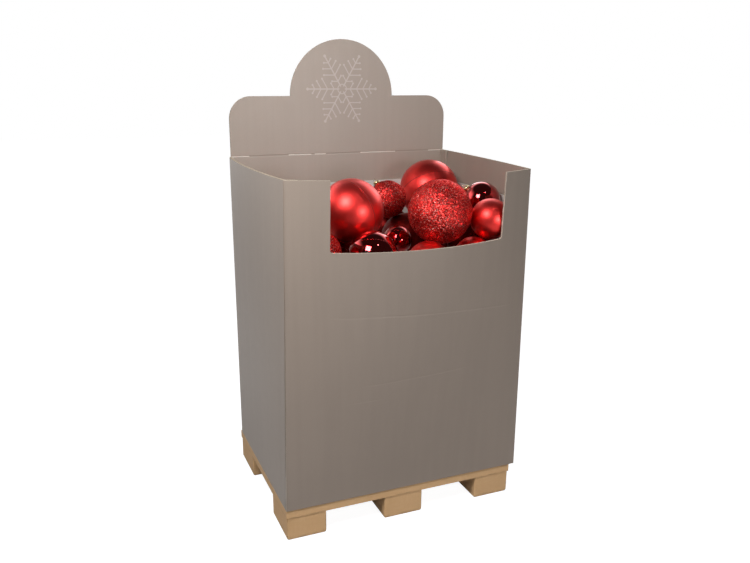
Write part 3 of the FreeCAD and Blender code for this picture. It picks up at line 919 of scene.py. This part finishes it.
floor_shape = bmesh.new()
bmesh.ops.create_grid(floor_shape, x_segments=1, y_segments=1, size=FLOOR_HALF)
floor_mesh = bpy.data.meshes.new("floor")
floor_shape.to_mesh(floor_mesh)
floor_shape.free()
floor = bpy.data.objects.new("floor", floor_mesh)
bpy.context.scene.collection.objects.link(floor)
paint = Finish("white floor")
paint.fix("Base Color", (0.45, 0.45, 0.45, 1.0))
paint.fix("Roughness", 0.9)
paint.fix("Specular IOR Level", 0.0)
paint.fix("Emission Strength", 1.0)
camera_ray = paint.node("ShaderNodeLightPath", {}, {}, "Is Camera Ray")
clear_ray = paint.node("ShaderNodeLightPath", {}, {}, "Is Transmission Ray")
mirror_ray = paint.node("ShaderNodeLightPath", {}, {}, "Is Glossy Ray")
swept = paint.y.rise(*FRONT_GLOW_FADE) * 0.30 + paint.y.rise(*REAR_GLOW_RISE) * 0.20 + 0.10
far = ((paint.x * paint.x + paint.y * paint.y) ** 0.5).rise(1.0, 3.5)
glow = (camera_ray.larger(clear_ray) * (0.95 + 0.05 * far)).larger(mirror_ray * swept)
paint.feed("Emission Color", paint.mixed(glow, (0.0, 0.0, 0.0, 1.0), (1.0, 1.0, 1.0, 1.0)))
floor_mesh.materials.append(paint.material)
print("floor:", 2 * FLOOR_HALF, "m wide, with", len(paint.tree.nodes), "shader nodes")

# %% [markdown]
# ## Room
# For the camera the room is plain white. It gives the board almost no light, since the lamps do that.
# In reflections it is white behind the display and dark in front, as a studio is, which gives the
# baubles their bright rims and dark middles. The kind of ray chooses between the three.

# %% Room
DARK_WALL, DIM_ROOM = (0.04, 0.035, 0.035, 1.0), (0.04, 0.04, 0.04, 1.0)
WHITE_ROOM, BRIGHT_WALL = (1.0, 1.0, 1.0, 1.0), (2.4, 2.4, 2.4, 1.0)

world = bpy.data.worlds.new("studio")
world.use_nodes = True
bpy.context.scene.world = world
room = Recipe(world.node_tree)
across, behind, above = room.parts(room.node("ShaderNodeTexCoord", {}, {}, "Generated"))
camera_ray = room.node("ShaderNodeLightPath", {}, {}, "Is Camera Ray")
mirror_ray = room.node("ShaderNodeLightPath", {}, {}, "Is Glossy Ray")
glow = behind.rise(-0.05, 0.35) * (1.0 - above.rise(0.45, 0.80))
reflected = room.mixed(glow, DARK_WALL, BRIGHT_WALL)
lit = room.mixed(mirror_ray, DIM_ROOM, reflected)
sky = room.mixed(camera_ray, lit, WHITE_ROOM)
room.tree.links.new(sky.socket, room.tree.nodes["Background"].inputs["Color"])
print("room:", len(room.tree.nodes), "shader nodes")

# %% [markdown]
# ## Lamps
# The highlights of the baubles tell where the lamps stand. The main one stands on the left, a low one
# in front, and the mirror baubles show a third, small one as a dot. The low one is there for the
# reflections alone. Three more lamps fill the front, the top and the back of the dull board, and the
# baubles don't mirror them.

# %% Softboxes
AIM = Vector((0.0, -0.1, 0.9))


def softbox(name, azimuth, elevation, distance, size, power, mirrored=True, spread=True):
    """A square lamp that looks at the baubles, with its azimuth from +Y towards +X.

    A lamp that isn't mirrored shows in no highlight. One that isn't spread lights no dull board.
    """
    turned, tipped = math.radians(azimuth), math.radians(elevation)
    level = math.cos(tipped)
    way = Vector((math.sin(turned) * level, math.cos(turned) * level, math.sin(tipped)))
    lamp = bpy.data.lights.new(name, "AREA")
    lamp.shape = "SQUARE"
    lamp.size = size
    lamp.energy = power
    box = bpy.data.objects.new(name, lamp)
    box.visible_glossy = mirrored
    box.visible_diffuse = spread
    bpy.context.scene.collection.objects.link(box)
    look = way.to_track_quat("Z", "Y").to_matrix().to_4x4()
    box.matrix_world = Matrix.Translation(AIM + way * distance) @ look
    print(f"{name}: {power} W, {distance} m away")


softbox("main softbox", -130.0, 41.0, 2.0, 0.7, 29.0)
softbox("small softbox", 165.0, 57.0, 2.4, 0.12, 2.0)
softbox("low softbox", 164.0, 8.0, 3.0, 0.6, 36.0, spread=False)
softbox("overhead softbox", 180.0, 60.0, 2.4, 0.8, 21.0, mirrored=False)
softbox("front softbox", 164.0, 8.0, 3.0, 1.2, 13.0, mirrored=False)
softbox("rear softbox", -12.0, 24.0, 2.6, 1.2, 16.0, mirrored=False)
